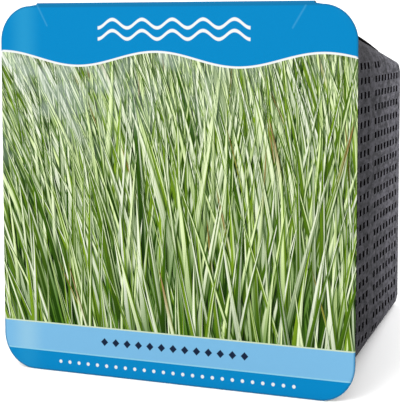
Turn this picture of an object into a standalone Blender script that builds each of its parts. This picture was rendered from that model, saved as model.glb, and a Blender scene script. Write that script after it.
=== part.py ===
"""A square pond planting basket lying on its side, filled with soil and closed by a printed cover card.

Every piece is modelled in the basket's own frame: X runs across the opening, Y from the opening to the
base, Z up the card. The empty "basket_lean" then lays the basket on its tapered lower wall, and brings
the middle of its bounding box's underside to the world's origin. Units are metres, +Z is up.
"""

from math import atan, cos, pi, sin

import bmesh
import bpy
from mathutils import Matrix, Vector

MM = 0.001

# Basket: half sizes at the opening, the depth to the base, and how much each wall leans in per unit of depth
RIM_HALF_WIDTH = 88.0 * MM
RIM_HALF_HEIGHT = 84.1 * MM
RIM_CORNER_RADIUS = 26.0 * MM
BASE_CORNER_RADIUS = 4.5 * MM
SMALLEST_RADIUS = 0.5 * MM
BASE_EDGE_ROUNDING = 1.0 * MM
DEPTH = 122.0 * MM
TAPER = 0.189
BODY_DROP = 2.5 * MM
WALL_THICKNESS = 1.4 * MM
RIM_BAND_THICKNESS = 2.6 * MM
RIM_BAND_DEPTH = 3.0 * MM
CORNER_STEPS = 6

# Slots: each row of a wall is cut as one window for each band of slots, with a solid ring between the bands
ROW_PITCH = 6.4 * MM
SLOT_HEIGHT = 2.9 * MM
SIDE_WALL_ROWS = 20
LONG_WALL_ROWS = 19
FRONT_BAND = (7.3 * MM, 37.3 * MM)
BACK_BAND = (50.9 * MM, 114.3 * MM)
SHORTEST_WINDOW = 3.9 * MM
SLOT_INTO_CORNER = 4.9 * MM
BASE_ROWS = 16
BASE_WINDOW_LENGTH = 50.0 * MM
BASE_RIB = 6.0 * MM
CUTTER_REACH = 8.0 * MM

# Cover card: a printed sheet over the opening, with a tab folded back along the top wall
CARD_THICKNESS = 0.6 * MM
CARD_HALF_WIDTH = 90.0 * MM
CARD_BOTTOM = -86.5 * MM
CARD_TOP = 85.2 * MM
CARD_CORNER_RADIUS = 16.5 * MM
CARD_CORNER_STEPS = 10
FOLD_RISE = 1.1 * MM
FOLD_STEPS = 3
TAB_HALF_WIDTH = 70.0 * MM
TAB_END = 99.4 * MM
TAB_END_HALF_WIDTH = 61.8 * MM
TAB_LIFT = 3.5 * MM
TAB_LIFT_DEPTH = 24.0 * MM
TAB_CURVE_STEPS = 6

# Soil: packed in the basket, a little below the rim
SOIL_TOP = 8.0 * MM
GAP = 0.3 * MM

RIM_FRONT = CARD_THICKNESS + GAP
BASE_INSIDE = DEPTH - WALL_THICKNESS


def clear_scene():
    for item in list(bpy.data.objects):
        bpy.data.objects.remove(item, do_unlink=True)


def new_collection(name, hidden=False):
    group = bpy.data.collections.new(name)
    bpy.context.scene.collection.children.link(group)
    group.hide_render = hidden
    return group


def plain_material(name, colour, roughness):
    material = bpy.data.materials.new(name)
    material.use_nodes = True
    shader = material.node_tree.nodes["Principled BSDF"]
    shader.inputs["Base Color"].default_value = (*colour, 1.0)
    shader.inputs["Roughness"].default_value = roughness
    shader.inputs["Metallic"].default_value = 0.0
    return material


def object_from_bmesh(name, shape, group, material=None):
    mesh = bpy.data.meshes.new(name)
    bmesh.ops.recalc_face_normals(shape, faces=shape.faces)
    shape.to_mesh(mesh)
    shape.free()
    if material:
        mesh.materials.append(material)
    item = bpy.data.objects.new(name, mesh)
    group.objects.link(item)
    return item


def corner_radius(depth):
    """The outer corner radius at this depth, from large at the rim to small at the base."""
    share = (depth - RIM_FRONT) / (DEPTH - RIM_FRONT)
    return RIM_CORNER_RADIUS + (BASE_CORNER_RADIUS - RIM_CORNER_RADIUS) * share


def half_size(depth):
    """The outer half width and half height of the basket at this depth."""
    lean = TAPER * (depth - RIM_FRONT)
    return RIM_HALF_WIDTH - lean, RIM_HALF_HEIGHT - lean


def rounded_rectangle(half_width, half_height, radius, steps):
    """Points round a rounded rectangle about the origin, anticlockwise, starting on its right side."""
    points = []
    for quarter, (side, rise) in enumerate(((1, 1), (-1, 1), (-1, -1), (1, -1))):
        for step in range(steps + 1):
            angle = (quarter + step / steps) * pi / 2
            across = side * (half_width - radius) + radius * cos(angle)
            up = rise * (half_height - radius) + radius * sin(angle)
            points.append((across, up))
    return points


def section(depth, inset):
    """A ring of points round the basket at this depth, set in from its outer surface."""
    half_width, half_height = half_size(depth)
    radius = max(corner_radius(depth) - inset, SMALLEST_RADIUS)
    outline = rounded_rectangle(half_width - inset, half_height - inset, radius, CORNER_STEPS)
    return [(across, depth, up - BODY_DROP) for across, up in outline]


def loft(sections):
    """A closed skin through rings with the same number of points, capped at its first and last ring."""
    shape = bmesh.new()
    rings = [[shape.verts.new(point) for point in ring] for ring in sections]
    for ring, following in zip(rings, rings[1:]):
        for i in range(len(ring)):
            j = (i + 1) % len(ring)
            shape.faces.new((ring[i], ring[j], following[j], following[i]))
    shape.faces.new(rings[0])
    shape.faces.new(rings[-1])
    return shape


def add_box(shape, centre, size, turn):
    """Adds a box of this size at a place, turned by a matrix."""
    scale = Matrix.Diagonal((*size, 1.0))
    bmesh.ops.create_cube(shape, size=1.0, matrix=Matrix.Translation(centre) @ turn @ scale)


def window_spans(row_place, half_height):
    """The (start, end) depths of a row's windows, cut short where they run into the rounded corner."""
    reach = abs(row_place) + SLOT_HEIGHT / 2 - SLOT_INTO_CORNER
    flat_at_rim = half_height - RIM_CORNER_RADIUS
    if reach > flat_at_rim:
        return []
    narrowing = TAPER + (BASE_CORNER_RADIUS - RIM_CORNER_RADIUS) / (DEPTH - RIM_FRONT)
    deepest = RIM_FRONT + (flat_at_rim - reach) / narrowing
    spans = []
    for start, end in (FRONT_BAND, BACK_BAND):
        end = min(end, deepest)
        if end - start >= SHORTEST_WINDOW:
            spans.append((start, end))
    return spans


def wall_cutters():
    """One box for each window of the four walls, lying along the wall's slope."""
    shape = bmesh.new()
    slope = atan(TAPER)
    for side in (1, -1):
        turn = Matrix.Rotation(side * slope, 4, "Z")
        for row in range(SIDE_WALL_ROWS):
            place = (row - (SIDE_WALL_ROWS - 1) / 2) * ROW_PITCH
            for start, end in window_spans(place, RIM_HALF_HEIGHT):
                middle = (start + end) / 2
                centre = (side * half_size(middle)[0], middle, place - BODY_DROP)
                add_box(shape, centre, (CUTTER_REACH, (end - start) / cos(slope), SLOT_HEIGHT), turn)
        turn = Matrix.Rotation(-side * slope, 4, "X")
        for row in range(LONG_WALL_ROWS):
            place = (row - (LONG_WALL_ROWS - 1) / 2) * ROW_PITCH
            for start, end in window_spans(place, RIM_HALF_WIDTH):
                middle = (start + end) / 2
                centre = (place, middle, side * half_size(middle)[1] - BODY_DROP)
                add_box(shape, centre, (SLOT_HEIGHT, (end - start) / cos(slope), CUTTER_REACH), turn)
    return shape


def base_cutters():
    """Two windows in each row of the base, either side of a middle rib."""
    shape = bmesh.new()
    for row in range(BASE_ROWS):
        place = (row - (BASE_ROWS - 1) / 2) * ROW_PITCH - BODY_DROP
        for side in (1, -1):
            centre = (side * (BASE_RIB + BASE_WINDOW_LENGTH) / 2, DEPTH, place)
            add_box(shape, centre, (BASE_WINDOW_LENGTH, CUTTER_REACH, SLOT_HEIGHT), Matrix.Identity(4))
    return shape


def cut(item, cutter):
    step = item.modifiers.new(cutter.name, "BOOLEAN")
    step.operation = "DIFFERENCE"
    step.solver = "EXACT"
    step.object = cutter


def build_basket(parts, cutters, lean):
    """One moulding: four slotted walls that lean in to a slotted base, with a thicker band round the rim."""
    band_end = RIM_FRONT + RIM_BAND_DEPTH
    shell = loft([
        section(DEPTH, BASE_EDGE_ROUNDING),
        section(DEPTH - BASE_EDGE_ROUNDING, 0.0),
        section(RIM_FRONT, 0.0),
        section(RIM_FRONT, RIM_BAND_THICKNESS),
        section(band_end, RIM_BAND_THICKNESS),
        section(band_end + RIM_BAND_THICKNESS - WALL_THICKNESS, WALL_THICKNESS),
        section(BASE_INSIDE, WALL_THICKNESS),
    ])
    plastic = plain_material("dark_grey_plastic", (0.035, 0.036, 0.040), 0.5)
    basket = object_from_bmesh("basket", shell, parts, plastic)
    basket.parent = lean
    for name, shape in (("wall_windows", wall_cutters()), ("base_windows", base_cutters())):
        cutter = object_from_bmesh(name, shape, cutters)
        cutter.parent = lean
        cutter.hide_render = True
        cutter.display_type = "WIRE"
        cut(basket, cutter)


def tab_path():
    """Middle line of the folded tab as (depth, height) pairs, from the fold to the tab's end."""
    start = CARD_THICKNESS / 2
    fold = [
        (start + FOLD_RISE * (1 - cos(angle)), CARD_TOP + FOLD_RISE * sin(angle))
        for angle in (pi / 2 * step / FOLD_STEPS for step in range(1, FOLD_STEPS + 1))
    ]
    crest = fold[-1][0]
    path = list(fold)
    for step in range(1, TAB_CURVE_STEPS + 1):
        depth = crest + TAB_LIFT_DEPTH * step / TAB_CURVE_STEPS
        path.append((depth, tab_height(depth, crest)))
    path.append((TAB_END, tab_height(TAB_END, crest)))
    return path


def tab_height(depth, crest):
    """Height of the tab's middle line: it comes down from the fold and then lies along the top wall."""
    wall = half_size(depth)[1] - BODY_DROP
    resting = wall + GAP + CARD_THICKNESS / 2
    left = max(0.0, 1.0 - (depth - crest) / TAB_LIFT_DEPTH)
    return resting + TAB_LIFT * left ** 2


def build_cover_card(parts, lean):
    """A sheet with rounded corners across the opening, whose top edge runs on as the folded tab."""
    shape = bmesh.new()
    middle = (CARD_TOP + CARD_BOTTOM) / 2
    half_height = (CARD_TOP - CARD_BOTTOM) / 2
    outline = rounded_rectangle(CARD_HALF_WIDTH, half_height, CARD_CORNER_RADIUS, CARD_CORNER_STEPS)
    fold_right = CARD_CORNER_STEPS + 1
    outline[fold_right:fold_right] = [(TAB_HALF_WIDTH, half_height), (-TAB_HALF_WIDTH, half_height)]
    front = CARD_THICKNESS / 2
    panel = [shape.verts.new((across, front, up + middle)) for across, up in outline]
    shape.faces.new(panel)
    row = (panel[fold_right + 1], panel[fold_right])
    for depth, height in tab_path():
        half_width = TAB_HALF_WIDTH + (TAB_END_HALF_WIDTH - TAB_HALF_WIDTH) * depth / TAB_END
        following = (
            shape.verts.new((-half_width, depth, height)),
            shape.verts.new((half_width, depth, height)),
        )
        shape.faces.new((row[0], row[1], following[1], following[0]))
        row = following
    card = object_from_bmesh("cover_card", shape, parts, plain_material("printed_card", (0.10, 0.42, 0.70), 0.35))
    card.parent = lean
    sheet = card.modifiers.new("sheet thickness", "SOLIDIFY")
    sheet.thickness = CARD_THICKNESS
    sheet.offset = 0.0
    sheet.use_even_offset = True


def build_soil(parts, lean):
    """The packed soil, shaped by the inside of the basket."""
    inset = WALL_THICKNESS + GAP
    shape = loft([section(SOIL_TOP, inset), section(BASE_INSIDE - GAP, inset)])
    soil = object_from_bmesh("soil", shape, parts, plain_material("pond_soil", (0.018, 0.013, 0.010), 0.95))
    soil.parent = lean


def place_on_ground(parts, lean):
    """Lays the basket on its lower wall, with the middle of its underside at the origin."""
    lean.rotation_euler = (-atan(TAPER), 0.0, 0.0)
    bpy.context.view_layer.update()
    graph = bpy.context.evaluated_depsgraph_get()
    corners = []
    for item in parts.objects:
        if item.type == "MESH":
            evaluated = item.evaluated_get(graph)
            corners += [evaluated.matrix_world @ vertex.co for vertex in evaluated.data.vertices]
    low = Vector([min(corner[axis] for corner in corners) for axis in range(3)])
    high = Vector([max(corner[axis] for corner in corners) for axis in range(3)])
    lean.location = (-(low.x + high.x) / 2, -(low.y + high.y) / 2, -low.z)
    bpy.context.view_layer.update()


def main():
    clear_scene()
    parts = new_collection("pond_planting_basket")
    cutters = new_collection("cutters", hidden=True)
    lean = bpy.data.objects.new("basket_lean", None)
    parts.objects.link(lean)
    build_basket(parts, cutters, lean)
    build_cover_card(parts, lean)
    build_soil(parts, lean)
    place_on_ground(parts, lean)


main()
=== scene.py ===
"""Looks of the pond basket: slotted basket, soil, printed cover card, studio and camera.

The pieces are modelled in the basket's own frame, as the solids are: a runs across the card, c from the
card into the basket, b up the card. PLACE turns such a point into the row's frame. Units are metres.
"""

from math import asin, atan, cos, hypot, pi, radians, sin, sqrt

import bmesh
import bpy
from mathutils import Matrix, Vector, noise


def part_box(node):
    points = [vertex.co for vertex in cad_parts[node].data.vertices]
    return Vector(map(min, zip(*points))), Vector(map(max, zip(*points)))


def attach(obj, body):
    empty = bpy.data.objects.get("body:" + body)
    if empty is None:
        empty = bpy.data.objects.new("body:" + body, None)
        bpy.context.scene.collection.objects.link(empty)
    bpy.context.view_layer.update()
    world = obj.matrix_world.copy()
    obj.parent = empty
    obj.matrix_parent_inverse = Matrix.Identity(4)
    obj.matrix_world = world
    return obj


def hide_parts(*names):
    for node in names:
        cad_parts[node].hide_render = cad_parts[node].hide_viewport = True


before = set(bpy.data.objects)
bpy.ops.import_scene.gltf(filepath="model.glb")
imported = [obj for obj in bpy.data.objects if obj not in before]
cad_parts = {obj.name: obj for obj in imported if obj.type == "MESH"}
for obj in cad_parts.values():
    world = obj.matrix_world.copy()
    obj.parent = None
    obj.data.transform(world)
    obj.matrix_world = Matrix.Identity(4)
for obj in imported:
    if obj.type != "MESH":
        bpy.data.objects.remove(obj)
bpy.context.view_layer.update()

MM = 0.001

# Basket, as in the solids
RIM_HALF_WIDTH = 88.0 * MM
RIM_HALF_HEIGHT = 84.1 * MM
RIM_CORNER_RADIUS = 26.0 * MM
BASE_CORNER_RADIUS = 4.5 * MM
SMALLEST_RADIUS = 0.5 * MM
BASE_EDGE_ROUNDING = 1.0 * MM
DEPTH = 122.0 * MM
TAPER = 0.189
BODY_DROP = 2.5 * MM
WALL_THICKNESS = 1.4 * MM
RIM_BAND_THICKNESS = 2.6 * MM
RIM_BAND_DEPTH = 3.0 * MM
CARD_THICKNESS = 0.6 * MM
GAP = 0.3 * MM
RIM_FRONT = CARD_THICKNESS + GAP
BASE_INSIDE = DEPTH - WALL_THICKNESS

# Slots, one by one
ROW_PITCH = 6.4 * MM
SLOT_HEIGHT = 2.9 * MM
SLOT_WIDTH = 3.9 * MM
SIDE_WALL_ROWS = 20
LONG_WALL_ROWS = 19
FRONT_BAND_START = 9.9 * MM
FRONT_BAND_PITCH = 8.6 * MM
FRONT_BAND_SLOTS = 4
BACK_BAND_START = 53.6 * MM
BACK_BAND_PITCH = 8.15 * MM
BACK_BAND_SLOTS = 8
SLOT_INTO_CORNER = 4.9 * MM
SLOT_ROUNDING = 0.45 * MM
CORNER_STEPS = 10
CORNER_SHARE = 0.6
BASE_ROWS = 16
BASE_COLUMNS = 12
BASE_SLOT_PITCH = 8.4 * MM
LAST_WALL_RING = 2.4 * MM

# Cover card
CARD_HALF_WIDTH = 90.0 * MM
CARD_BOTTOM = -86.5 * MM
CARD_TOP = 85.2 * MM
CARD_CORNER_RADIUS = 16.5 * MM
FOLD_RISE = 1.02 * MM  # 1.1 mm in the solid, whose fold has fewer steps
EDGE_BEND_RUN = 3.6 * MM
EDGE_BEND_RADIUS = 22.0 * MM
EDGE_BEND_FADE = 8.0 * MM
TAB_HALF_WIDTH = 70.0 * MM
TAB_END = 99.4 * MM
TAB_END_HALF_WIDTH = 61.8 * MM
TAB_LIFT = 3.5 * MM
TAB_LIFT_DEPTH = 24.0 * MM
TAB_EDGE_RISE = 0.9 * MM

# Soil
SOIL_TOP = 8.0 * MM
SOIL_ROUGHNESS = 2.2 * MM
CLOD_SIZE = 5.0 * MM
SOIL_CAPS = (0.98, 0.9, 0.75, 0.6, 0.45, 0.3, 0.15, 0.03)
SOIL_FRONT_REACH = 80.0 * MM
SOIL_BACK_REACH = 58.0 * MM
SOIL_STEPS_ROUND = 100
SOIL_STEPS_DEEP = 70

# Where the solids lie in the row's frame
LEAN = atan(TAPER)
card_low, card_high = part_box("cover_card")
ORIGIN = Vector((
    0.0,
    card_low.y - CARD_BOTTOM * sin(LEAN),
    card_low.z - CARD_BOTTOM * cos(LEAN) + CARD_THICKNESS * sin(LEAN),
))
PLACE = Matrix.Translation(ORIGIN) @ Matrix.Rotation(-LEAN, 4, "X")


def add_object(name, shape, materials, sharp_angle):
    """Makes a smooth-shaded piece, riding on the one body, from a bmesh in the basket's own frame."""
    shape.transform(PLACE)
    mesh = bpy.data.meshes.new(name)
    shape.to_mesh(mesh)
    shape.free()
    for material in materials:
        mesh.materials.append(material)
    mesh.shade_smooth()
    mesh.set_sharp_from_angle(angle=sharp_angle)
    piece = bpy.data.objects.new(name, mesh)
    bpy.context.scene.collection.objects.link(piece)
    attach(piece, "root")
    return piece


def corner_radius(depth):
    share = (depth - RIM_FRONT) / (DEPTH - RIM_FRONT)
    return RIM_CORNER_RADIUS + (BASE_CORNER_RADIUS - RIM_CORNER_RADIUS) * share


def half_size(depth):
    lean = TAPER * (depth - RIM_FRONT)
    return RIM_HALF_WIDTH - lean, RIM_HALF_HEIGHT - lean


def slot_depths():
    """The middle of each column of slots, as a depth."""
    front = [FRONT_BAND_START + i * FRONT_BAND_PITCH for i in range(FRONT_BAND_SLOTS)]
    back = [BACK_BAND_START + i * BACK_BAND_PITCH for i in range(BACK_BAND_SLOTS)]
    return front + back


def row_places(count):
    return [(row - (count - 1) / 2) * ROW_PITCH for row in range(count)]


def wall_stations():
    """The shell's grid lines round the basket, as (wall, row place or None, share of the corner)."""
    stations = []
    for wall in range(4):
        rows = row_places(LONG_WALL_ROWS if wall % 2 else SIDE_WALL_ROWS)
        for place in rows:
            stations.append((wall, place - SLOT_HEIGHT / 2, 0.0))
            stations.append((wall, place + SLOT_HEIGHT / 2, 0.0))
        for step in range(1, CORNER_STEPS):
            stations.append((wall, None, step / CORNER_STEPS))
    return stations


def outermost(wall):
    rows = LONG_WALL_ROWS if wall % 2 else SIDE_WALL_ROWS
    return (rows - 1) / 2 * ROW_PITCH + SLOT_HEIGHT / 2


def into_corner(wall, along, depth):
    """How far round the corner's arc, as an angle, a place beyond the wall's flat part lies."""
    half_width, half_height = half_size(depth)
    radius = corner_radius(depth)
    flat = (half_width if wall % 2 else half_height) - radius
    beyond = min(max(abs(along) - flat, 0.0), CORNER_SHARE * radius)
    return asin(beyond / radius), min(abs(along), flat)


def outline_point(station, depth, inset):
    """A point of the shell: walls 0 to 3 are right, top, left and bottom, each followed by its corner."""
    wall, along, share = station
    half_width, half_height = half_size(depth)
    radius = corner_radius(depth)
    shown = max(radius - inset, SMALLEST_RADIUS)
    half_across, half_along = (half_height, half_width) if wall % 2 else (half_width, half_height)
    if along is None:
        start = into_corner(wall, outermost(wall), depth)[0]
        end = pi / 2 - into_corner((wall + 1) % 4, outermost((wall + 1) % 4), depth)[0]
        angle = start + (end - start) * share
        out = half_across - radius + shown * cos(angle)
        side = half_along - radius + shown * sin(angle)
    else:
        angle, side = into_corner(wall, along, depth)
        out = half_across - radius + shown * cos(angle)
        side = (side + shown * sin(angle)) * (1 if along > 0 else -1)
    turn = wall * pi / 2
    return (
        out * round(cos(turn)) - side * round(sin(turn)),
        depth,
        out * round(sin(turn)) + side * round(cos(turn)) - BODY_DROP,
    )


def is_slot(station, following, start, end, columns):
    """Whether the cell between two stations and two depths is an opening."""
    wall, along, _ = station
    if along is None or following[0] != wall or following[1] is None:
        return False
    if following[1] - along > SLOT_HEIGHT * 1.01:
        return False
    if (round(start, 6), round(end, 6)) not in columns:
        return False
    half_width, half_height = half_size(end)
    flat = (half_width if wall % 2 else half_height) - corner_radius(end)
    return max(abs(along), abs(following[1])) <= flat + SLOT_INTO_CORNER


def build_basket(materials):
    """The moulding as a grid of cells, left open where the slots are, with an inner and an outer skin."""
    stations = wall_stations()
    band_end = RIM_FRONT + RIM_BAND_DEPTH
    columns = {
        (round(middle - SLOT_WIDTH / 2, 6), round(middle + SLOT_WIDTH / 2, 6)) for middle in slot_depths()
    }
    edges = sorted(edge for column in columns for edge in column)
    depths = [RIM_FRONT, band_end, band_end + RIM_BAND_THICKNESS - WALL_THICKNESS, *edges]
    depths += [DEPTH - LAST_WALL_RING, DEPTH - BASE_EDGE_ROUNDING]
    shape = bmesh.new()

    def ring(depth, inset):
        return [shape.verts.new(outline_point(station, depth, inset)) for station in stations]

    def wall_inset(depth):
        return RIM_BAND_THICKNESS if depth < band_end + MM * 0.5 else WALL_THICKNESS

    outer = [ring(depth, 0.0) for depth in depths]
    inner = [ring(min(depth, BASE_INSIDE), wall_inset(depth)) for depth in depths]
    count = len(stations)
    open_cells = set()
    for i in range(len(depths) - 1):
        for j in range(count):
            if is_slot(stations[j], stations[(j + 1) % count], depths[i], depths[i + 1], columns):
                open_cells.add((i, j))
    through = []
    for i in range(len(depths) - 1):
        for j in range(count):
            k = (j + 1) % count
            corners = ((i, j), (i, k), (i + 1, k), (i + 1, j))
            if (i, j) not in open_cells:
                shape.faces.new([outer[m][n] for m, n in reversed(corners)])
                shape.faces.new([inner[m][n] for m, n in corners])
                continue
            for (m, n), (p, q) in zip(corners, corners[1:] + corners[:1]):
                side = shape.faces.new((outer[m][n], outer[p][q], inner[p][q], inner[m][n]))
                side.material_index = 1
            through += [shape.edges.get((outer[m][n], inner[m][n])) for m, n in corners]
    for j in range(count):
        k = (j + 1) % count
        shape.faces.new((outer[0][j], outer[0][k], inner[0][k], inner[0][j]))
    add_base(shape, ring, outer[-1], inner[-1], through)
    bmesh.ops.bevel(shape, geom=through, offset=SLOT_ROUNDING, segments=2, affect="EDGES", profile=0.5)
    bmesh.ops.remove_doubles(shape, verts=shape.verts, dist=1e-6)
    bmesh.ops.dissolve_degenerate(shape, dist=1e-6, edges=shape.edges)
    bmesh.ops.recalc_face_normals(shape, faces=shape.faces)
    piece = add_object("pond_basket", shape, materials, radians(35))
    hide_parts("basket")
    return piece


def base_grid(shape, depth):
    """A grid of points over the base, with a line at each edge of its slots."""
    lines_a = []
    for column in range(BASE_COLUMNS):
        middle = (column - (BASE_COLUMNS - 1) / 2) * BASE_SLOT_PITCH
        lines_a += [middle - SLOT_WIDTH / 2, middle + SLOT_WIDTH / 2]
    lines_b = []
    for place in row_places(BASE_ROWS):
        lines_b += [place - SLOT_HEIGHT / 2 - BODY_DROP, place + SLOT_HEIGHT / 2 - BODY_DROP]
    return [[shape.verts.new((a, depth, b)) for a in lines_a] for b in lines_b]


def perimeter_edges(shape, grid):
    """The edges round the outside of a grid of points."""
    loop = grid[0][:-1] + [row[-1] for row in grid[:-1]] + grid[-1][:0:-1] + [row[0] for row in grid[:0:-1]]
    return [shape.edges.get((a, b)) or shape.edges.new((a, b)) for a, b in zip(loop, loop[1:] + loop[:1])]


def add_base(shape, ring, outer_ring, inner_ring, through):
    """The base plate: a grid of cells with slots, joined to the walls by flat skins."""
    rounded = [ring(DEPTH - BASE_EDGE_ROUNDING * (1 - sin(angle)), BASE_EDGE_ROUNDING * (1 - cos(angle)))
               for angle in (pi / 6, pi / 3, pi / 2)]
    count = len(outer_ring)
    previous = outer_ring
    for following in rounded:
        for j in range(count):
            k = (j + 1) % count
            shape.faces.new((previous[j], following[j], following[k], previous[k]))
        previous = following
    outside = base_grid(shape, DEPTH)
    inside = base_grid(shape, BASE_INSIDE)
    for i in range(len(outside) - 1):
        for j in range(len(outside[0]) - 1):
            corners = ((i, j), (i, j + 1), (i + 1, j + 1), (i + 1, j))
            if i % 2 or j % 2:
                shape.faces.new([outside[m][n] for m, n in corners])
                shape.faces.new([inside[m][n] for m, n in reversed(corners)])
                continue
            for (m, n), (p, q) in zip(corners, corners[1:] + corners[:1]):
                side = shape.faces.new((outside[m][n], outside[p][q], inside[p][q], inside[m][n]))
                side.material_index = 1
            through += [shape.edges.get((outside[m][n], inside[m][n])) for m, n in corners]
    for grid, loop in ((outside, previous), (inside, inner_ring)):
        rim = [shape.edges.get((loop[j], loop[(j + 1) % count])) for j in range(count)]
        rim = [edge for edge in rim if edge.calc_length() > 1e-7]
        bmesh.ops.triangle_fill(shape, use_beauty=True, edges=rim + perimeter_edges(shape, grid))


def soil_ring(shape, depth, inset, rough):
    """A ring of the soil's surface, pushed in by clods."""
    ring = []
    half_width, half_height = half_size(depth)
    radius = max(corner_radius(depth) - inset, SMALLEST_RADIUS)
    half_width -= inset
    half_height -= inset
    for quarter in range(4):
        across, along = (half_height, half_width) if quarter % 2 else (half_width, half_height)
        for step in range(SOIL_STEPS_ROUND):
            share = step / SOIL_STEPS_ROUND * 2 - 1
            side = share * along
            beyond = max(abs(side) - (along - radius), 0.0)
            out = across - radius + sqrt(max(radius ** 2 - beyond ** 2, 0.0))
            turn = quarter * pi / 2
            a = out * round(cos(turn)) - side * round(sin(turn))
            b = out * round(sin(turn)) + side * round(cos(turn))
            clods = noise.fractal((a / CLOD_SIZE, depth / CLOD_SIZE, b / CLOD_SIZE), 0.8, 2.1, 4)
            push = rough * (0.5 + 0.5 * clods)
            shrink = 1 - max(push, 0.0) / max(across, 1 * MM)
            ring.append(shape.verts.new((a * shrink, depth, b * shrink - BODY_DROP)))
    return ring


def build_soil(material):
    """Packed soil with a rough surface, just inside the walls and the base."""
    shape = bmesh.new()
    inset = WALL_THICKNESS + GAP
    deepest = BASE_INSIDE - GAP
    rings = []
    for cap in reversed(SOIL_CAPS):
        rings.append(soil_ring(shape, SOIL_TOP, inset + (1 - cap) * SOIL_FRONT_REACH, 0.0))
    for step in range(SOIL_STEPS_DEEP + 1):
        depth = SOIL_TOP + (deepest - SOIL_TOP) * step / SOIL_STEPS_DEEP
        rings.append(soil_ring(shape, depth, inset, SOIL_ROUGHNESS))
    for cap in SOIL_CAPS:
        rings.append(soil_ring(shape, deepest, inset + (1 - cap) * SOIL_BACK_REACH, 0.0))
    for ring, following in zip(rings, rings[1:]):
        count = len(ring)
        for j in range(count):
            k = (j + 1) % count
            shape.faces.new((ring[j], ring[k], following[k], following[j]))
    shape.faces.new(rings[0])
    shape.faces.new(rings[-1])
    bmesh.ops.recalc_face_normals(shape, faces=shape.faces)
    piece = add_object("pond_soil", shape, [material], radians(180))
    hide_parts("soil")
    return piece


def card_rows():
    """Rows of the card as (half width, depth, height), from the bottom edge up and on to the tab's end."""
    rows = []
    corner_steps = 16
    inner = CARD_HALF_WIDTH - CARD_CORNER_RADIUS
    for step in range(corner_steps + 1):
        angle = step / corner_steps * pi / 2
        rows.append((inner + CARD_CORNER_RADIUS * sin(angle), 0.0,
                     CARD_BOTTOM + CARD_CORNER_RADIUS * (1 - cos(angle))))
    low, high = CARD_BOTTOM + CARD_CORNER_RADIUS, CARD_TOP - CARD_CORNER_RADIUS
    steps = 66
    for step in range(1, steps):
        rows.append((CARD_HALF_WIDTH, 0.0, low + (high - low) * step / steps))
    for step in range(corner_steps + 1):
        angle = step / corner_steps * pi / 2
        rows.append((inner + CARD_CORNER_RADIUS * cos(angle), 0.0, high + CARD_CORNER_RADIUS * sin(angle)))
    fold_steps = 6
    for step in range(1, fold_steps + 1):
        angle = pi / 2 * step / fold_steps
        height = CARD_TOP + CARD_THICKNESS / 2 + FOLD_RISE * sin(angle)
        rows.append((TAB_HALF_WIDTH, FOLD_RISE * (1 - cos(angle)), height))
    crest = FOLD_RISE + CARD_THICKNESS / 2
    tab_steps = 50
    for step in range(1, tab_steps + 1):
        depth = crest + (TAB_END - crest) * step / tab_steps
        half_width = TAB_HALF_WIDTH + (TAB_END_HALF_WIDTH - TAB_HALF_WIDTH) * depth / TAB_END
        rows.append((half_width, depth, tab_height(depth, crest) + CARD_THICKNESS / 2))
    return rows


def tab_height(depth, crest):
    """Height of the tab's middle line: it comes down from the fold and then lies along the top wall."""
    resting = half_size(depth)[1] - BODY_DROP + GAP + CARD_THICKNESS / 2
    left = max(0.0, 1.0 - (depth - crest) / TAB_LIFT_DEPTH)
    return resting + TAB_LIFT * left ** 2


def edge_bend(across, height):
    """How far the sheet bends back at a point near its rounded outline; the fold itself starts flat."""
    inner = CARD_HALF_WIDTH - CARD_CORNER_RADIUS
    middle = (CARD_TOP + CARD_BOTTOM) / 2
    beyond_a = abs(across) - inner
    beyond_b = abs(height - middle) - ((CARD_TOP - CARD_BOTTOM) / 2 - CARD_CORNER_RADIUS)
    outside = hypot(max(beyond_a, 0.0), max(beyond_b, 0.0)) + min(max(beyond_a, beyond_b), 0.0)
    near = max(EDGE_BEND_RUN - (CARD_CORNER_RADIUS - outside), 0.0)
    if height > CARD_TOP - CARD_CORNER_RADIUS:
        near *= min(max(beyond_a / EDGE_BEND_FADE, 0.0), 1.0)
    return near ** 2 / (2 * EDGE_BEND_RADIUS)


def build_card(materials):
    """The printed sheet with its folded tab, given its thickness by a modifier."""
    shape = bmesh.new()
    columns = 96
    previous = None
    for half_width, depth, height in card_rows():
        row = []
        for column in range(columns + 1):
            share = sin((column / columns - 0.5) * pi)
            across = half_width * share
            back = depth
            up = height
            if depth > FOLD_RISE:
                up += TAB_EDGE_RISE * share ** 8 * sin(pi * (depth / TAB_END) ** 2)
            elif height <= CARD_TOP:
                back += edge_bend(across, height)
            row.append(shape.verts.new((across, back, up)))
        if previous:
            for i in range(columns):
                shape.faces.new((previous[i], previous[i + 1], row[i + 1], row[i]))
        previous = row
    piece = add_object("printed_cover_card", shape, materials, radians(40))
    sheet = piece.modifiers.new("sheet thickness", "SOLIDIFY")
    sheet.thickness = CARD_THICKNESS
    sheet.offset = -1.0
    sheet.use_even_offset = True
    sheet.material_offset = 1
    sheet.material_offset_rim = 1
    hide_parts("cover_card")
    return piece


# How much brighter than its own colour a matt surface facing the camera looks in the studio's light
STUDIO_LIGHT = 1.82


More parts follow.
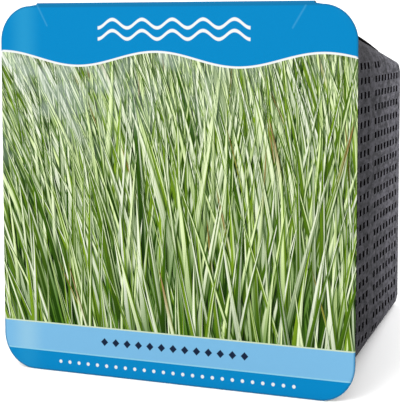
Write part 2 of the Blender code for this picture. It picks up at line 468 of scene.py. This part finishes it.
class Graph:
    """Adds shader nodes to a tree; most methods return the new node's output socket."""

    def __init__(self, tree):
        self.tree = tree

    def put(self, socket, value):
        """Links a socket to another one, or gives it a plain value."""
        if isinstance(value, bpy.types.NodeSocket):
            self.tree.links.new(value, socket)
        else:
            socket.default_value = value

    def node(self, kind, *values, **settings):
        item = self.tree.nodes.new(kind)
        for name, value in settings.items():
            setattr(item, name, value)
        for socket, value in zip(item.inputs, values):
            self.put(socket, value)
        return item

    def math(self, operation, *values):
        return self.node("ShaderNodeMath", *values, operation=operation).outputs[0]

    def add(self, *values):
        return self.math("ADD", *values)

    def subtract(self, *values):
        return self.math("SUBTRACT", *values)

    def multiply(self, *values):
        return self.math("MULTIPLY", *values)

    def within(self, value, low, high, start=0.0, end=1.0, smooth=True):
        """A value's place between low and high, brought to the range from start to end."""
        kind = "SMOOTHSTEP" if smooth else "LINEAR"
        item = self.node("ShaderNodeMapRange", value, low, high, start, end, interpolation_type=kind)
        return item.outputs[0]

    def between(self, share, low, high):
        return self.within(share, 0.0, 1.0, low, high, smooth=False)

    def mix(self, share, low, high, blend="MIX"):
        """Blends two colours."""
        item = self.node("ShaderNodeMix", share, data_type="RGBA", blend_type=blend)
        self.put(item.inputs[6], low)
        self.put(item.inputs[7], high)
        return item.outputs[2]

    def shade(self, colour, factor):
        """Multiplies a colour by a value."""
        grey = self.node("ShaderNodeCombineColor", factor, factor, factor).outputs[0]
        return self.mix(1.0, colour, grey, "MULTIPLY")

    def vector(self, across, up, third=0.0):
        return self.node("ShaderNodeCombineXYZ", across, up, third).outputs[0]

    def noise(self, place, scale=1.0, detail=1.0, roughness=0.5):
        item = self.node("ShaderNodeTexNoise")
        values = {"Vector": place, "Scale": scale, "Detail": detail, "Roughness": roughness}
        for name, value in values.items():
            self.put(item.inputs[name], value)
        return item.outputs[0]

    def randoms(self, across, up):
        """Four random values for a cell."""
        item = self.node("ShaderNodeTexWhiteNoise", self.vector(across, up), noise_dimensions="2D")
        split = self.node("ShaderNodeSeparateColor", item.outputs[1])
        return item.outputs[0], split.outputs[0], split.outputs[1], split.outputs[2]


def screen_colour(red, green, blue):
    """The shader colour that comes out as this 0 to 255 colour in the studio's light."""
    def reflected(value):
        share = value / 255
        linear = share / 12.92 if share <= 0.04045 else ((share + 0.055) / 1.055) ** 2.4
        return linear / STUDIO_LIGHT
    return reflected(red), reflected(green), reflected(blue), 1.0


def new_material(name, roughness, specular):
    material = bpy.data.materials.new(name)
    material.use_nodes = True
    shader = material.node_tree.nodes["Principled BSDF"]
    shader.inputs["Roughness"].default_value = roughness
    shader.inputs["Specular IOR Level"].default_value = specular
    return material, Graph(material.node_tree), shader


def add_bump(graph, shader, height, distance, strength):
    item = graph.node("ShaderNodeBump")
    for name, value in (("Height", height), ("Distance", distance), ("Strength", strength)):
        graph.put(item.inputs[name], value)
    graph.put(shader.inputs["Normal"], item.outputs[0])


def basket_place(graph):
    """The shaded point in the basket's own frame, in millimetres."""
    place = graph.node("ShaderNodeTexCoord").outputs["Object"]
    item = graph.node("ShaderNodeMapping", place, vector_type="TEXTURE")
    item.inputs["Location"].default_value = ORIGIN
    item.inputs["Rotation"].default_value = (-LEAN, 0.0, 0.0)
    item.inputs["Scale"].default_value = (MM, MM, MM)
    return item.outputs[0]


# Print: places on the card in millimetres, a to the right and b up
# Painted highlight: a lighter strip down the header and the bands near the left edge, standing in for light
# on the card's bent edge
HIGHLIGHT_MIDDLE = -77.0
HIGHLIGHT_HALF_WIDTH = 10.5
PICTURE_BOTTOM = -63.7
HEADER_EDGE = 61.0
HEADER_WAVE = 3.3
HEADER_WAVE_LENGTH = 82.0
HEADER_WAVE_CREST = -7.0
LOWER_BAND_TOP = -77.0
BORDER_LINE = 0.95
THIN_LINE = 0.6
MARKS_MIDDLE = 1.5
HEADER_LINES = {"heights": (76.9, 71.9), "half_length": 38.5, "swing": 1.9, "length": 15.4, "width": 1.5}
DIAMONDS = {"height": -70.3, "half_length": 39.0, "pitch": 6.0, "size": 1.9, "corners": True}
DOTS = {"height": -81.6, "half_length": 62.0, "pitch": 5.0, "size": 0.8, "corners": False}
# Painted highlights: two lighter strokes where the sheet bends over its top corners
CREASE_HIGHLIGHTS = (((-69.7, 85.8), (-64.3, 76.1)), ((66.0, 84.5), (60.0, 75.0)))
CREASE_HIGHLIGHT_WIDTH = 0.7
FOLD_DEPTH = 1.5
TAB_UNFOLDING = 1.2

HEADER_BLUE = screen_colour(1, 140, 204)
HEADER_HIGHLIGHT = screen_colour(36, 155, 210)
LIGHT_BLUE = screen_colour(128, 193, 235)
LIGHT_BLUE_HIGHLIGHT = screen_colour(150, 205, 236)
LINE_WHITE = screen_colour(250, 252, 250)
LINE_PALE_GREEN = screen_colour(214, 232, 205)
LINE_CYAN = screen_colour(150, 214, 238)
MARK_NAVY = screen_colour(24, 40, 66)
EDGE_SHADE_BLUE = screen_colour(20, 118, 168)
CREASE_HIGHLIGHT_BLUE = screen_colour(90, 180, 225)

# Blades in the picture, from the furthest layer to the nearest
BLADE_SETTINGS = (
    "Across", "Up", "Lean", "Pitch", "Lowest tip", "Highest tip", "Reach", "Green", "Share", "Seed",
)
BLADE_LAYERS = 22
BLADE_FAN = -0.0022
BLADE_BEND = 12.0
LAYER_TIE = 1e-6
LINE_SPACING = 0.55
TIP_LENGTH = 11.0
FURTHEST_TIP = 114.0
TIP_DROP = 134.0
TIP_SPREAD = 50.0
FINEST_PITCH = 2.8
PITCH_GROWTH = 6.4
SLANTING_LAYERS = range(4, BLADE_LAYERS, 6)
DARK_GREEN = screen_colour(50, 94, 2)
BRIGHT_GREEN = screen_colour(136, 172, 36)
WARM_CREAM = screen_colour(236, 255, 180)
COOL_WHITE = screen_colour(250, 255, 236)
LEAF_BROWN = screen_colour(150, 104, 40)
HAZE = screen_colour(216, 232, 226)
GAP_FAR = screen_colour(160, 180, 130)
GAP_NEAR = screen_colour(20, 38, 8)
SHADE_TINT = (0.10, 0.22, 0.02, 1.0)
FULL_LIGHT = (1.0, 1.0, 1.0, 1.0)


def blade_layer_group():
    """A node group that paints one layer of upright striped blades over the colour below it."""
    tree = bpy.data.node_groups.new("blade_layer", "ShaderNodeTree")
    tree.interface.new_socket("Below", in_out="INPUT", socket_type="NodeSocketColor")
    for name in BLADE_SETTINGS:
        tree.interface.new_socket(name, in_out="INPUT", socket_type="NodeSocketFloat")
    tree.interface.new_socket("Colour", in_out="OUTPUT", socket_type="NodeSocketColor")
    graph = Graph(tree)
    below, across, up, lean, pitch, low_tip, high_tip, reach, leafy, share, seed = (
        tree.nodes.new("NodeGroupInput").outputs[:11]
    )

    # A trace of the colour below ties each layer to the one before, so that few values are held at once
    trace = graph.multiply(graph.node("ShaderNodeSeparateColor", below).outputs[0], LAYER_TIE)
    up = graph.add(up, trace)

    # Lines of equal place run along the blades; each column of them holds one blade
    place = graph.math("MULTIPLY_ADD", lean, up, across)
    count = graph.math("MULTIPLY_ADD", seed, 7.31, graph.math("DIVIDE", place, pitch))
    column = graph.math("FLOOR", count)
    inside = graph.multiply(graph.math("FRACT", count), pitch)
    present, width, shift, height = graph.randoms(column, seed)
    flip, border, green, tone = graph.randoms(column, graph.add(seed, 0.5))
    present = graph.math("LESS_THAN", present, share)

    # The blade narrows to its tip
    half = graph.multiply(pitch, graph.between(width, 0.15, 0.48))
    middle = graph.math("MULTIPLY_ADD", shift, graph.math("MULTIPLY_ADD", half, -2.0, pitch), half)
    run = graph.subtract(graph.between(height, low_tip, high_tip), up)
    narrowing = graph.within(run, 0.0, graph.multiply(pitch, TIP_LENGTH), smooth=False)
    half = graph.multiply(half, graph.math("POWER", narrowing, 0.75))
    off = graph.subtract(inside, middle)
    edge = graph.subtract(half, graph.math("ABSOLUTE", off))
    cover = graph.multiply(graph.within(edge, -0.05, 0.15), present)
    side = graph.math("DIVIDE", off, graph.math("MAXIMUM", half, 0.1))
    shadow = graph.math("ABSOLUTE", graph.subtract(side, 0.45))
    shadow = graph.multiply(graph.within(shadow, 0.95, 1.5, 0.72, 0.0), present)

    # Its colours: a pale stripe beside a green one, with fine lines along it
    line = graph.math("FLOOR", graph.math("DIVIDE", inside, LINE_SPACING))
    line_place = graph.vector(column, line, seed)
    lines = graph.node("ShaderNodeTexWhiteNoise", line_place, noise_dimensions="3D").outputs[0]
    lines = graph.subtract(lines, 0.5)
    turned = graph.multiply(side, graph.math("SIGN", graph.subtract(flip, 0.5)))
    pale = graph.subtract(turned, graph.math("MULTIPLY_ADD", border, 1.5, leafy))
    pale = graph.within(graph.math("MULTIPLY_ADD", lines, 0.2, pale), -0.15, 0.12)
    streak = graph.multiply(graph.math("GREATER_THAN", lines, 0.38), 0.4)
    pale = graph.math("ABSOLUTE", graph.subtract(pale, streak))
    leaf = graph.mix(green, DARK_GREEN, BRIGHT_GREEN)
    cream = graph.mix(tone, WARM_CREAM, COOL_WHITE)
    colour = graph.mix(pale, leaf, cream)
    faded = graph.math("GREATER_THAN", graph.math("FRACT", graph.multiply(tone, 9.7)), 0.95)
    colour = graph.mix(graph.multiply(faded, graph.within(run, 6.0, 34.0, 0.85, 0.0)), colour, LEAF_BROWN)

    # Its light: one half is duller, the edges and the lower part are in shade
    light = graph.within(side, -0.1, 0.2, 1.08, 0.88)
    light = graph.multiply(light, graph.within(edge, 0.0, 0.35, 0.8, 1.0))
    light = graph.multiply(light, graph.within(run, 8.0, reach, 1.16, 0.0))
    light = graph.multiply(light, graph.math("MULTIPLY_ADD", lines, 0.28, 1.0))
    colour = graph.mix(1.0, colour, graph.mix(light, SHADE_TINT, FULL_LIGHT), "MULTIPLY")
    dimmed = graph.mix(1.0, below, graph.mix(shadow, FULL_LIGHT, SHADE_TINT), "MULTIPLY")
    graph.node("NodeGroupOutput", graph.mix(cover, dimmed, colour))
    return tree


def paint_blades(graph, across, up):
    """The picture: layers of striped blades, fine and hazy at the back, broad and clear in front."""
    group = blade_layer_group()
    colour = graph.mix(graph.within(up, -30.0, 50.0), GAP_NEAR, GAP_FAR)
    wander = graph.noise(graph.vector(across, up), 0.009, 0.0)
    fanned = graph.multiply(across, graph.math("MULTIPLY_ADD", up, BLADE_FAN, 1.0))
    bent = graph.math("MULTIPLY_ADD", graph.subtract(wander, 0.5), BLADE_BEND, fanned)
    for layer in range(BLADE_LAYERS):
        nearness = layer / (BLADE_LAYERS - 1)
        high_tip = FURTHEST_TIP - TIP_DROP * nearness
        slanting = layer in SLANTING_LAYERS
        values = {
            "Below": colour,
            "Across": bent,
            "Up": up,
            "Lean": 0.5 if slanting else 0.13 + 0.24 * sin(2.4 * layer + 0.6),
            "Pitch": FINEST_PITCH + PITCH_GROWTH * nearness ** 1.5,
            "Lowest tip": high_tip - TIP_SPREAD,
            "Highest tip": high_tip,
            "Reach": 150.0 if slanting else 110.0 - 32.0 * nearness,
            "Green": -1.15 + 0.6 * nearness,
            "Share": 0.24 if slanting else 0.85 - 0.2 * nearness,
            "Seed": 1.37 * layer + 0.9,
        }
        item = graph.node("ShaderNodeGroup")
        item.node_tree = group
        for name, value in values.items():
            graph.put(item.inputs[name], value)
        colour = item.outputs[0]
    haze = graph.within(graph.noise(graph.vector(across, up, 5.0), 0.08, 3.0), 0.4, 0.65)
    towards_top_left = graph.math("MULTIPLY_ADD", across, -0.3, up)
    haze = graph.multiply(haze, graph.within(towards_top_left, 15.0, 80.0, 0.0, 0.36))
    return graph.mix(haze, colour, HAZE)


def band_mask(graph, value, edge, softness=0.12):
    """1 above the edge, 0 below it."""
    return graph.within(graph.subtract(value, edge), -softness, softness)


def line_mask(graph, value, edge, width, softness=0.12):
    """1 on a line of this width along the edge."""
    away = graph.math("ABSOLUTE", graph.subtract(value, edge))
    return graph.within(away, width / 2 - softness, width / 2 + softness, 1.0, 0.0)


def outline_distance(graph, across, up):
    """How far inside the card's rounded outline a point lies."""
    radius = CARD_CORNER_RADIUS / MM
    inner_a = CARD_HALF_WIDTH / MM - radius
    inner_b = (CARD_TOP - CARD_BOTTOM) / 2 / MM - radius
    middle = (CARD_TOP + CARD_BOTTOM) / 2 / MM
    beyond_a = graph.subtract(graph.math("ABSOLUTE", across), inner_a)
    beyond_b = graph.subtract(graph.math("ABSOLUTE", graph.subtract(up, middle)), inner_b)
    outer = graph.vector(graph.math("MAXIMUM", beyond_a, 0.0), graph.math("MAXIMUM", beyond_b, 0.0))
    outer = graph.node("ShaderNodeVectorMath", outer, operation="LENGTH").outputs["Value"]
    inner = graph.math("MINIMUM", graph.math("MAXIMUM", beyond_a, beyond_b), 0.0)
    return graph.subtract(radius, graph.add(outer, inner))


def stroke_mask(graph, place, start, end, width):
    """1 on a straight stroke between two points of the card."""
    start, end = Vector((*start, 0.0)), Vector((*end, 0.0))
    along = end - start
    from_start = graph.node("ShaderNodeVectorMath", place, start, operation="SUBTRACT").outputs[0]
    unit_run = along / along.length_squared
    share = graph.node("ShaderNodeVectorMath", from_start, unit_run, operation="DOT_PRODUCT")
    share = graph.within(share.outputs["Value"], 0.0, 1.0, smooth=False)
    nearest = graph.node("ShaderNodeVectorMath", along, operation="SCALE")
    graph.put(nearest.inputs["Scale"], share)
    away = graph.node("ShaderNodeVectorMath", from_start, nearest.outputs[0], operation="DISTANCE")
    return graph.within(away.outputs["Value"], 0.0, width, 1.0, 0.0)


def wave_lines(graph, across, up, heights, half_length, swing, length, width):
    """1 on wavy lines of limited length, one above the other."""
    turn = graph.multiply(graph.subtract(across, MARKS_MIDDLE), 2 * pi / length)
    wave = graph.subtract(up, graph.multiply(graph.math("COSINE", turn), swing))
    lines = 0.0
    for height in heights:
        lines = graph.math("MAXIMUM", line_mask(graph, wave, height, width, 0.2), lines)
    beyond = graph.math("ABSOLUTE", graph.subtract(across, MARKS_MIDDLE))
    return graph.multiply(lines, graph.within(beyond, half_length - 0.2, half_length + 0.2, 1.0, 0.0))


def row_of_marks(graph, across, up, height, half_length, pitch, size, corners):
    """1 on a row of evenly spaced marks: diamonds with corners, or else round dots."""
    shifted = graph.subtract(across, MARKS_MIDDLE)
    share = graph.math("FRACT", graph.math("MULTIPLY_ADD", shifted, 1 / pitch, 0.5))
    aside = graph.multiply(graph.math("ABSOLUTE", graph.subtract(share, 0.5)), pitch)
    above = graph.math("ABSOLUTE", graph.subtract(up, height))
    if corners:
        away = graph.add(aside, above)
    else:
        offset = graph.vector(aside, above)
        away = graph.node("ShaderNodeVectorMath", offset, operation="LENGTH").outputs["Value"]
    mark = graph.within(away, size - 0.2, size + 0.2, 1.0, 0.0)
    return graph.multiply(mark, graph.math("LESS_THAN", graph.math("ABSOLUTE", shifted), half_length))


def card_material():
    """The print on glossy card: blue header with a wavy edge, picture of striped blades, two blue bands,
    with painted light over it: a highlight strip near the left, highlights along two creases and shade at
    the outline.

    On the folded tab the height along the unfolded sheet keeps the header's marks and edge off it.
    """
    material, graph, shader = new_material("card_print", 0.36, 0.03)
    split = graph.node("ShaderNodeSeparateXYZ", basket_place(graph))
    across, depth, up = split.outputs
    flat_place = graph.vector(across, up)
    past_fold = graph.math("MAXIMUM", graph.subtract(depth, FOLD_DEPTH), 0.0)
    along_sheet = graph.math("MULTIPLY_ADD", past_fold, TAB_UNFOLDING, up)

    # Painted highlight: the lighter strip near the left edge, full in the header and light band, half in
    # the lower band
    from_highlight = graph.math("ABSOLUTE", graph.subtract(across, HIGHLIGHT_MIDDLE))
    painted_highlight = graph.within(from_highlight, 0.0, HIGHLIGHT_HALF_WIDTH, 1.0, 0.0)
    turn = graph.multiply(graph.subtract(across, HEADER_WAVE_CREST), 2 * pi / HEADER_WAVE_LENGTH)
    wave = graph.add(graph.multiply(graph.math("COSINE", turn), HEADER_WAVE), HEADER_EDGE)
    above = graph.subtract(along_sheet, wave)

    colour = paint_blades(graph, across, up)
    header = graph.mix(painted_highlight, HEADER_BLUE, HEADER_HIGHLIGHT)
    lower = graph.mix(graph.multiply(painted_highlight, 0.5), HEADER_BLUE, HEADER_HIGHLIGHT)
    light = graph.mix(painted_highlight, LIGHT_BLUE, LIGHT_BLUE_HIGHLIGHT)
    below_wave = graph.subtract(1.0, band_mask(graph, above, 0.0))
    in_picture = graph.multiply(below_wave, band_mask(graph, up, PICTURE_BOTTOM))
    colour = graph.mix(band_mask(graph, above, 0.0), colour, header)
    colour = graph.mix(line_mask(graph, above, 0.0, BORDER_LINE), colour, LINE_WHITE)
    bands = graph.mix(band_mask(graph, up, LOWER_BAND_TOP), lower, light)
    colour = graph.mix(band_mask(graph, up, PICTURE_BOTTOM), bands, colour)
    colour = graph.mix(line_mask(graph, up, PICTURE_BOTTOM, THIN_LINE), colour, LINE_PALE_GREEN)
    colour = graph.mix(line_mask(graph, up, LOWER_BAND_TOP, THIN_LINE), colour, LINE_CYAN)

    waves = wave_lines(graph, across, along_sheet, **HEADER_LINES)
    colour = graph.mix(waves, colour, LINE_WHITE)
    diamonds = row_of_marks(graph, across, up, **DIAMONDS)
    colour = graph.mix(diamonds, colour, MARK_NAVY)
    dots = row_of_marks(graph, across, up, **DOTS)
    colour = graph.mix(dots, colour, LINE_WHITE)

    # Painted shade: outside the picture the print darkens to a deeper blue within about a millimetre of the
    # outline, standing in for shade on the turned-back edge
    edge = outline_distance(graph, across, up)
    rim = graph.multiply(graph.within(edge, 0.2, 1.1, 0.75, 0.0), graph.subtract(1.0, in_picture))
    colour = graph.mix(rim, colour, EDGE_SHADE_BLUE)
    # Painted highlights along the two creases
    for start, end in CREASE_HIGHLIGHTS:
        crease_highlight = stroke_mask(graph, flat_place, start, end, CREASE_HIGHLIGHT_WIDTH)
        colour = graph.mix(graph.multiply(crease_highlight, 0.35), colour, CREASE_HIGHLIGHT_BLUE)
    graph.put(shader.inputs["Base Color"], colour)
    smear = graph.noise(flat_place, 0.03, 4.0)
    graph.put(shader.inputs["Roughness"], graph.between(smear, 0.28, 0.46))
    add_bump(graph, shader, graph.noise(flat_place, 1.4, 3.0), 0.02 * MM, 0.25)
    return material


def shaded_card_back_material():
    """The unprinted reverse and cut edge of the card, with paper fibres: painted shade, near black to stand
    in for the shade under the folded tab and along the cut edge.
    """
    material, graph, shader = new_material("card_back_painted_shade", 0.9, 0.05)
    fibres = graph.noise(basket_place(graph), 1.2, 5.0, 0.7)
    # Painted shade: the reverse is near black in place of the shade under the tab and at the cut edge
    colour = graph.mix(fibres, (0.004, 0.004, 0.005, 1), (0.016, 0.015, 0.015, 1))
    graph.put(shader.inputs["Base Color"], colour)
    add_bump(graph, shader, fibres, 0.05 * MM, 0.4)
    return material


PLASTIC_DARK = screen_colour(38, 38, 41)
PLASTIC_LIGHT = screen_colour(69, 68, 74)
PLASTIC_DUST = screen_colour(122, 120, 121)


def plastic_material(name, light):
    """Moulded dark grey plastic: mottled, a little dusty, with a fine moulded texture, and painted light:
    lighter towards the base, all scaled by light for lit and shaded copies.
    """
    material, graph, shader = new_material(name, 0.5, 0.005 * light)
    place = basket_place(graph)
    flow = graph.node("ShaderNodeVectorMath", place, (1.0, 0.4, 1.0), operation="MULTIPLY").outputs[0]
    mottle = graph.noise(flow, 0.36, 5.0, 0.7)
    speckle = graph.noise(flow, 0.7, 4.0, 0.7)
    colour = graph.mix(graph.within(mottle, 0.38, 0.62), PLASTIC_DARK, PLASTIC_LIGHT)
    dust = graph.multiply(graph.within(speckle, 0.5, 0.75), graph.within(mottle, 0.4, 0.6))
    colour = graph.mix(graph.multiply(dust, 0.55), colour, PLASTIC_DUST)
    depth = graph.node("ShaderNodeSeparateXYZ", place).outputs[1]
    # Painted light: the plastic grows lighter towards the base, standing in for light falling brighter
    # there than near the card
    painted_light_gradient = graph.within(depth, 24.0, 122.0, light, 2.7 * light)
    graph.put(shader.inputs["Base Color"], graph.shade(colour, painted_light_gradient))
    graph.put(shader.inputs["Roughness"], graph.between(speckle, 0.42, 0.62))
    add_bump(graph, shader, graph.noise(place, 2.2, 3.0), 0.06 * MM, 0.5)
    return material


def soil_and_shade_material():
    """Dark damp soil with a few pale grains, its colour pushed near black as painted shade for the dark
    inside of the basket seen through the slots.
    """
    material, graph, shader = new_material("pond_soil", 0.95, 0.05)
    place = basket_place(graph)
    clods = graph.noise(place, 0.35, 6.0, 0.75)
    grains = graph.noise(place, 1.1, 4.0, 0.8)
    # Partly painted shade: the soil is near black, darker than damp soil, standing in for the shade inside
    # the basket behind the slots
    colour = graph.mix(graph.within(clods, 0.35, 0.65), screen_colour(4, 4, 4), screen_colour(24, 21, 18))
    colour = graph.mix(graph.within(grains, 0.6, 0.72), colour, screen_colour(66, 60, 55))
    graph.put(shader.inputs["Base Color"], colour)
    add_bump(graph, shader, clods, 1.0 * MM, 0.8)
    return material


def floor_material():
    """A plain pale studio floor with a hint of unevenness."""
    material, graph, shader = new_material("pale_floor", 0.8, 0.1)
    cloud = graph.noise(graph.node("ShaderNodeTexCoord").outputs["Object"], 3.0, 3.0)
    graph.put(shader.inputs["Base Color"], graph.mix(cloud, (0.93, 0.93, 0.93, 1), (0.95, 0.95, 0.95, 1)))
    return material


def build_floor():
    """A large pale floor under the object."""
    shape = bmesh.new()
    bmesh.ops.create_grid(shape, x_segments=1, y_segments=1, size=6.0)
    mesh = bpy.data.meshes.new("floor")
    shape.to_mesh(mesh)
    shape.free()
    mesh.materials.append(floor_material())
    floor = bpy.data.objects.new("floor", mesh)
    bpy.context.scene.collection.objects.link(floor)


# Camera: the photograph's viewing angle
CAMERA_AIM = Vector((15.35 * MM, -57.66 * MM, 83.22 * MM))
CAMERA_DISTANCE = 707.5 * MM
CAMERA_AZIMUTH = radians(27.94)
CAMERA_ELEVATION = radians(15.71)
CAMERA_ROLL = radians(-5.06)
CAMERA_LENS_MM = 142.63

LIGHT_AIM = Vector((0.0, 0.0, 80.0 * MM))


def add_camera():
    back = Vector((
        sin(CAMERA_AZIMUTH) * cos(CAMERA_ELEVATION),
        -cos(CAMERA_AZIMUTH) * cos(CAMERA_ELEVATION),
        sin(CAMERA_ELEVATION),
    ))
    camera = bpy.data.cameras.new("camera")
    camera.sensor_fit = "HORIZONTAL"
    camera.lens = CAMERA_LENS_MM
    item = bpy.data.objects.new("camera", camera)
    level = (-back).to_track_quat("-Z", "Y").to_matrix().to_4x4()
    item.matrix_world = (
        Matrix.Translation(CAMERA_AIM + back * CAMERA_DISTANCE)
        @ level
        @ Matrix.Rotation(CAMERA_ROLL, 4, "Z")
    )
    bpy.context.scene.collection.objects.link(item)
    bpy.context.scene.camera = item


def add_area_light(name, azimuth, elevation, distance, size, power):
    """A square soft light aimed at the object's middle, placed by azimuth and elevation in the same way as
    the camera.
    """
    light = bpy.data.lights.new(name, "AREA")
    light.shape = "RECTANGLE"
    light.size, light.size_y = size
    light.energy = power
    item = bpy.data.objects.new(name, light)
    back = Vector((
        sin(radians(azimuth)) * cos(radians(elevation)),
        -cos(radians(azimuth)) * cos(radians(elevation)),
        sin(radians(elevation)),
    ))
    item.location = LIGHT_AIM + back * distance
    item.rotation_euler = (-back).to_track_quat("-Z", "Y").to_euler()
    bpy.context.scene.collection.objects.link(item)


def add_studio():
    world = bpy.data.worlds.new("studio")
    world.use_nodes = True
    background = world.node_tree.nodes["Background"]
    background.inputs["Color"].default_value = (1.0, 1.0, 1.0, 1.0)
    background.inputs["Strength"].default_value = 1.4
    bpy.context.scene.world = world
    bpy.context.scene.view_settings.view_transform = "Standard"
    add_area_light("key_light", -20, 45, 1.6, (1.0, 1.0), 12)
    add_area_light("side_light", 135, 25, 0.27, (0.12, 0.12), 0.25)


# The slot sides use a near black copy of the plastic: painted shade inside the slots
build_basket([plastic_material("dark_grey_plastic", 1.0), plastic_material("slot_sides_painted_shade", 0.05)])
build_soil(soil_and_shade_material())
build_card([card_material(), shaded_card_back_material()])
build_floor()
add_camera()
add_studio()
